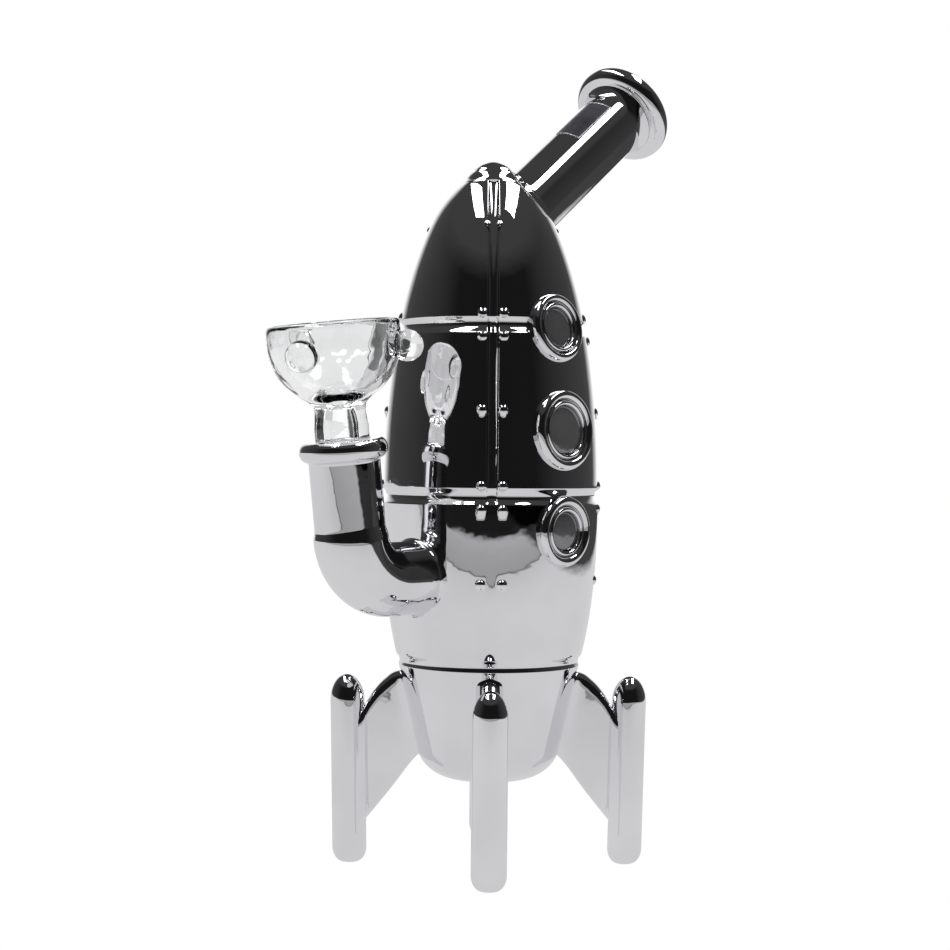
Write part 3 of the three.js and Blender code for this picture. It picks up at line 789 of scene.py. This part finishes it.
def bowl():
    """The whole bowl as one piece of glass: the stem, the cup and the three marbles that are fused to it."""
    matrix = joint_matrix()
    points, faces = turned(bowl_profile(), 112)
    body = shape_mesh("clear_bowl", points, faces, matrix)
    for index in range(KNOB_COUNT):
        turn = math.radians(KNOB_FIRST_TURN + 360 / KNOB_COUNT * index)
        place_at = Vector((KNOB_REACH * math.cos(turn), KNOB_REACH * math.sin(turn), KNOB_HEIGHT))
        ball = arc((0, 0), (KNOB_RADIUS, KNOB_RADIUS), -90, 90, 24)
        ball[0] = (0, -KNOB_RADIUS)
        ball[-1] = (0, KNOB_RADIUS)
        ball_points, ball_faces = turned(ball, 48)
        marble = shape_mesh(f"marble_{index}", ball_points, ball_faces, matrix @ Matrix.Translation(place_at))
        fuse(body, marble)
    return body


def fuse(body, other):
    """Joins another closed mesh to a closed mesh, as one solid."""
    union = body.modifiers.new("fuse", "BOOLEAN")
    union.operation = "UNION"
    union.solver = "EXACT"
    union.object = other
    bpy.context.view_layer.update()
    evaluated = body.evaluated_get(bpy.context.evaluated_depsgraph_get())
    joined = bpy.data.meshes.new_from_object(evaluated)
    body.modifiers.clear()
    body.data = joined
    bpy.data.objects.remove(other)


# ---- Portholes ----


def porthole_matrix(z):
    azimuth = math.radians(PORTHOLE_AZIMUTH)
    radius = hull_radius(z)
    slope = math.degrees(math.atan(hull_radius(z - 0.5) - hull_radius(z + 0.5)))
    upright = leaning((radius * math.cos(azimuth), radius * math.sin(azimuth), z), PORTHOLE_AZIMUTH, slope)
    return upright @ Matrix.Diagonal((1, PORTHOLE_SQUEEZE, 1, 1))


def porthole_ring(name, z, radius, window):
    valley = window + 1.5
    half = (radius - valley) / 2
    profile = [
        (window - 0.2, -4),
        (radius - 0.1, -4),
        (radius - 0.05, -0.6),
        *arc((radius - half, -0.2), (half, 1.9), 0, 170, 28),
        *arc((window + 0.75, 0.2), (0.75, 1.2), 10, 180, 18),
        (window - 0.2, -0.2),
    ]
    points, faces = turned(profile, 112)
    return shape_mesh(f"porthole_ring_plating_{name}", points, faces, porthole_matrix(z))


def porthole_lens(name, z, window):
    edge = window - 0.15
    dome = [(edge * math.cos(a), 0.1 + 0.8 * math.sin(a)) for a in spaced(0, math.pi / 2, 14)]
    dome[-1] = (0, 0.9)
    points, faces = turned([(0, -2.5), (edge, -2.5), *dome], 96)
    return shape_mesh(f"porthole_lens_mirror_{name}", points, faces, porthole_matrix(z))


# ---- Fins ----


def fin_matrix(quarter):
    return Matrix.Rotation(quarter * math.pi / 2, 4, "Z")


def fin_leg(name, quarter):
    toe = arc((LEG_FLAT_RADIUS, LEG_TOE), (LEG_RADIUS - LEG_FLAT_RADIUS, LEG_TOE), -90, 0, 14)
    sides = [(LEG_RADIUS, z) for z in spaced(LEG_TOE + 2, LEG_HEIGHT - LEG_CROWN - 2, 14)]
    crown = arc((0, LEG_HEIGHT - LEG_CROWN), (LEG_RADIUS, LEG_CROWN), 0, 90, 20)
    crown[-1] = (0, LEG_HEIGHT)
    points, faces = turned([(0, 0), *toe, *sides, *crown], 64)
    leaned = [(LEG_FOOT_X + x + LEG_LEAN * z, y, z) for x, y, z in points]
    return shape_mesh(f"fin_leg_plating_{name}", leaned, faces, fin_matrix(quarter))


def web_edge(points, x):
    """The height of a web's edge at a distance from the hull's axis."""
    for (x0, z0), (x1, z1) in zip(points, points[1:]):
        if x <= x1:
            return z0 + (z1 - z0) * (x - x0) / (x1 - x0)
    return points[-1][1]


def weld(x, z):
    """How much a web thickens beside the hull and beside the leg."""
    from_hull = max(x - hull_radius(z), 0)
    from_leg = max(LEG_FOOT_X + LEG_LEAN * z - LEG_RADIUS - x, 0)
    return WELD_BULGE * (math.exp(-from_hull / WELD_REACH) + math.exp(-from_leg / WELD_REACH))


def web_ring(x, low, high):
    """A section across a web: a flat plate with rounded top and bottom edges."""
    half = WEB_THICKNESS / 2
    over = arc((0, high - WEB_ROUND), (half, WEB_ROUND), 0, 180, 12)
    under = arc((0, low + WEB_ROUND), (half, WEB_ROUND), 180, 360, 12)
    left = [(-half, z) for z in spaced(high - WEB_ROUND, low + WEB_ROUND, 14)][1:-1]
    right = [(half, z) for z in spaced(low + WEB_ROUND, high - WEB_ROUND, 14)][1:-1]
    section = [*over, *left, *under, *right]
    return [(x, y * (1 + weld(x, z) / half), z) for y, z in section]


def fin_web(name, quarter):
    low = curve_through(WEB_LOW, 10)
    high = curve_through(WEB_HIGH, 10)
    outward = spaced(WEB_LOW[0][0], WEB_LOW[-1][0], 60)
    rings = [web_ring(x, web_edge(low, x), web_edge(high, x)) for x in outward]
    count = len(rings[0])
    points = [p for ring in rings for p in ring]
    faces = grid_faces(len(rings), count)
    faces.append(tuple(range(count)))
    faces.append(tuple(range((len(rings) - 1) * count, len(rings) * count)))
    return shape_mesh(f"fin_web_plating_{name}", points, faces, fin_matrix(quarter))


# ---- Downstem and diffuser, which keep their CAD meshes inside the hull ----


def keep_glass(node):
    """Gives a CAD node that stays in the picture the clear glass."""
    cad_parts[node].data.materials.clear()
    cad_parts[node].data.materials.append(GLASS)


# ---- Stage ----

FLOOR_HALF_WIDTH = 6.0  # metres
FLOOR_DROP = 0.0002
DARK_RIGHT_START = 0.55  # metres to the right where the lit floor ends
DARK_RIGHT_END = 0.7
DARK_RIGHT_SHARE = 0.92
# (metres towards the front, brightness): the painted light of the floor's glow as reflections see it, a pale
# table, its dark edge, a grey floor, then the dark
FLOOR_TOWARDS_FRONT = (
    (0.0, 0.70), (0.2, 0.68), (0.385, 0.60), (0.396, 0.16), (0.402, 0.16), (0.411, 0.36),
    (0.80, 0.44), (0.90, 0.30), (0.97, 0.012),
)
# (share of the way round from the front to the back, brightness)
WALLS_TOWARDS_BACK = (
    (0.0, 0.0085), (0.27, 0.0095), (0.40, 0.026), (0.70, 0.055), (0.775, 0.07), (0.83, 0.55),
    (0.88, 1.0), (1.0, 1.15),
)
CEILING_START = 0.56  # as the sine of the angle above the horizon
CEILING_END = 0.68
CEILING_GLOW = 0.05
NOSE_LEVEL = 0.19  # metres
PANEL_HEIGHT = 1.0
PANEL_BRIGHTNESS = 6.0
LEFT_PANEL = ((-0.27, -0.60), (-0.505, -0.50), (-0.505, 0.65), (-0.27, 0.15))
RIGHT_PANEL = ((0.33, -0.40), (0.62, -0.46), (0.62, 0.80), (0.33, 0.35))
ROOM_THROUGH_GLASS = 0.62  # a clear piece shows at least this much light through itself
FLOOR_THROUGH_GLASS = 0.85


def stage_floor():
    mesh = bpy.data.meshes.new("floor")
    half = FLOOR_HALF_WIDTH
    corners = [(-half, -half, 0), (half, -half, 0), (half, half, 0), (-half, half, 0)]
    mesh.from_pydata(corners, [], [(0, 1, 2, 3)])
    floor = bpy.data.objects.new("floor", mesh)
    bpy.context.scene.collection.objects.link(floor)
    floor.location.z = -FLOOR_DROP
    # The floor glows, though it is no lamp: even white to the camera, and to reflections a painted pattern of
    # light and shade.
    material = bpy.data.materials.new("pale_floor")
    material.use_nodes = True
    tree = material.node_tree
    tree.nodes.clear()
    output = tree.nodes.new("ShaderNodeOutputMaterial")
    seen = tree.nodes.new("ShaderNodeEmission")
    seen.inputs["Color"].default_value = (1, 1, 1, 1)
    reflected = tree.nodes.new("ShaderNodeEmission")
    mix = tree.nodes.new("ShaderNodeMixShader")
    path = tree.nodes.new("ShaderNodeLightPath")
    coordinates = tree.nodes.new("ShaderNodeTexCoord")
    split = tree.nodes.new("ShaderNodeSeparateXYZ")
    reach = tree.nodes.new("ShaderNodeMapRange")
    reach.inputs["From Min"].default_value = 0.0
    reach.inputs["From Max"].default_value = -1.0
    ramp = tree.nodes.new("ShaderNodeValToRGB")
    fill_ramp(ramp, FLOOR_TOWARDS_FRONT)
    tree.links.new(coordinates.outputs["Object"], split.inputs["Vector"])
    tree.links.new(split.outputs["Y"], reach.inputs["Value"])
    tree.links.new(reach.outputs["Result"], ramp.inputs["Fac"])
    # Painted shade: the floor's glow darkens towards the right.
    painted_dark_right = maths(tree, "MULTIPLY", stepped(tree, split.outputs["X"], DARK_RIGHT_START, DARK_RIGHT_END),
                   DARK_RIGHT_SHARE)
    lit = maths(tree, "MULTIPLY", ramp.outputs["Color"], maths(tree, "SUBTRACT", 1.0, painted_dark_right))
    # Painted light: the floor glows brighter to rays through glass.
    through = maths(tree, "MULTIPLY", path.outputs["Is Transmission Ray"], FLOOR_THROUGH_GLASS)
    tree.links.new(maths(tree, "MAXIMUM", lit, through), reflected.inputs["Color"])
    tree.links.new(path.outputs["Is Camera Ray"], mix.inputs["Fac"])
    tree.links.new(reflected.outputs["Emission"], mix.inputs[1])
    tree.links.new(seen.outputs["Emission"], mix.inputs[2])
    tree.links.new(mix.outputs["Shader"], output.inputs["Surface"])
    mesh.materials.append(material)


def maths(tree, operation, a, b):
    """A sum on two values, each a number or another node's output."""
    node = tree.nodes.new("ShaderNodeMath")
    node.operation = operation
    for socket, value in zip(node.inputs, (a, b)):
        if isinstance(value, (int, float)):
            socket.default_value = value
        else:
            tree.links.new(value, socket)
    return node.outputs[0]


def stepped(tree, value, start, end):
    """0 below the start, 1 above the end."""
    node = tree.nodes.new("ShaderNodeMapRange")
    node.inputs["From Min"].default_value = start
    node.inputs["From Max"].default_value = end
    tree.links.new(value, node.inputs["Value"])
    return node.outputs["Result"]


def fill_ramp(ramp, stops):
    elements = ramp.color_ramp.elements
    while len(elements) < len(stops):
        elements.new(0.5)
    for element, (position, value) in zip(elements, stops):
        element.position = position
        element.color = (value, value, value * 1.02, 1)


def studio_world():
    """White to the camera. Reflections see a dark room in front, grey sides and a white backdrop behind."""
    world = bpy.data.worlds.new("studio")
    bpy.context.scene.world = world
    world.use_nodes = True
    tree = world.node_tree
    tree.nodes.clear()
    output = tree.nodes.new("ShaderNodeOutputWorld")
    coordinates = tree.nodes.new("ShaderNodeTexCoord")
    split = tree.nodes.new("ShaderNodeSeparateXYZ")
    tree.links.new(coordinates.outputs["Generated"], split.inputs["Vector"])

    # 0 towards the front, 1 straight behind
    round_angle = maths(tree, "ARCTAN2", split.outputs["X"], maths(tree, "MULTIPLY", split.outputs["Y"], -1))
    behind = maths(tree, "DIVIDE", maths(tree, "ABSOLUTE", round_angle, 0.0), math.pi)
    sides = tree.nodes.new("ShaderNodeValToRGB")
    fill_ramp(sides, WALLS_TOWARDS_BACK)
    tree.links.new(behind, sides.inputs["Fac"])
    overhead = stepped(tree, split.outputs["Z"], CEILING_START, CEILING_END)
    walls = maths(tree, "MULTIPLY", sides.outputs["Color"], maths(tree, "SUBTRACT", 1.0, overhead))
    room = maths(tree, "ADD", walls, maths(tree, "MULTIPLY", overhead, CEILING_GLOW))
    path = tree.nodes.new("ShaderNodeLightPath")
    through = maths(tree, "MULTIPLY", path.outputs["Is Transmission Ray"], ROOM_THROUGH_GLASS)
    background = tree.nodes.new("ShaderNodeBackground")
    tree.links.new(maths(tree, "MAXIMUM", room, through), background.inputs["Color"])
    seen = tree.nodes.new("ShaderNodeBackground")
    seen.inputs["Color"].default_value = (1, 1, 1, 1)
    mix = tree.nodes.new("ShaderNodeMixShader")
    tree.links.new(path.outputs["Is Camera Ray"], mix.inputs["Fac"])
    tree.links.new(background.outputs[0], mix.inputs[1])
    tree.links.new(seen.outputs[0], mix.inputs[2])
    tree.links.new(mix.outputs[0], output.inputs["Surface"])


def softbox(name, corners, height, brightness):
    """A light panel over the nose. Its corners are (x, y) for a height of one metre."""
    mesh = bpy.data.meshes.new(name)
    above = [(x * height, y * height, height + NOSE_LEVEL) for x, y in corners]
    mesh.from_pydata(above, [], [(0, 1, 2, 3)])
    panel = bpy.data.objects.new(name, mesh)
    bpy.context.scene.collection.objects.link(panel)
    material = bpy.data.materials.new(name)
    material.use_nodes = True
    tree = material.node_tree
    tree.nodes.clear()
    output = tree.nodes.new("ShaderNodeOutputMaterial")
    glow = tree.nodes.new("ShaderNodeEmission")
    glow.inputs["Strength"].default_value = brightness
    tree.links.new(glow.outputs[0], output.inputs["Surface"])
    mesh.materials.append(material)
    panel.visible_camera = False


# ---- Camera ----


CAMERA_PLACE = (-8.6, -575.3, 115.6)  # millimetres from the foot of the hull's axis
CAMERA_YAW = -0.425
CAMERA_PITCH = -0.669
CAMERA_ROLL = 0.55
CAMERA_LENS = 77.6
SENSOR_WIDTH = 36


def add_camera():
    data = bpy.data.cameras.new("camera")
    data.sensor_width = SENSOR_WIDTH
    data.lens = CAMERA_LENS
    data.clip_start = 0.01
    camera = bpy.data.objects.new("camera", data)
    bpy.context.scene.collection.objects.link(camera)
    yaw, pitch, roll = (math.radians(angle) for angle in (CAMERA_YAW, CAMERA_PITCH, CAMERA_ROLL))
    forward = Vector((-math.sin(yaw), math.cos(yaw), math.tan(pitch))).normalized()
    right = forward.cross(Vector((0, 0, 1))).normalized()
    up = right.cross(forward)
    tilted_right = right * math.cos(roll) + up * math.sin(roll)
    tilted_up = up * math.cos(roll) - right * math.sin(roll)
    turn = Matrix((tilted_right, tilted_up, -forward)).transposed().to_4x4()
    position = HULL_AXIS + Vector(CAMERA_PLACE) * MM
    camera.matrix_world = Matrix.Translation(position) @ turn
    bpy.context.scene.camera = camera


# ---- Assembly ----


def build_object():
    plated(hull_section("lower_hull_plating", GROOVE_Z["lower"], GROOVE_Z["middle"]), "lower_hull")
    plated(hull_section("upper_hull_plating", GROOVE_Z["middle"], GROOVE_Z["upper"]), "upper_hull")
    plated(nose_shell(), "nose_shell")
    plated(tail_cone(), "tail_cone")
    plated(nose_cap(), "nose_cap")
    plated(neck_tube(), "neck_tube")
    plated(mouth_lip(), "mouth_lip")
    place(label_border(), BORDER, "plated_glass", "pipe")
    place(blank_label(), LABEL, "porthole_mirror", "pipe")
    plated(joint_elbow(), "joint_elbow")
    plated(joint_socket(), "joint_socket")
    plated(joint_collar(), "joint_collar")
    for name, (z, radius, window) in PORTHOLES.items():
        plated(porthole_ring(name, z, radius, window), f"porthole_ring_{name}")
        lens = porthole_lens(name, z, window)
        place(lens, PORTHOLE, "porthole_mirror", "pipe", f"porthole_lens_{name}")
    for quarter, name in enumerate(("right", "back", "left", "front")):
        plated(fin_leg(name, quarter), f"fin_leg_{name}")
        plated(fin_web(name, quarter), f"fin_web_{name}")
    knobs = [f"bowl_knob_{index + 1}" for index in range(KNOB_COUNT)]
    place(bowl(), GLASS, "clear_glass", "bowl", "bowl_stem", "bowl_cup", *knobs)
    keep_glass("downstem")
    keep_glass("diffuser")


bpy.context.scene.view_settings.view_transform = "Standard"
add_camera()
build_object()
stage_floor()
studio_world()
softbox("left_panel", LEFT_PANEL, PANEL_HEIGHT, PANEL_BRIGHTNESS)
softbox("right_panel", RIGHT_PANEL, PANEL_HEIGHT, PANEL_BRIGHTNESS)
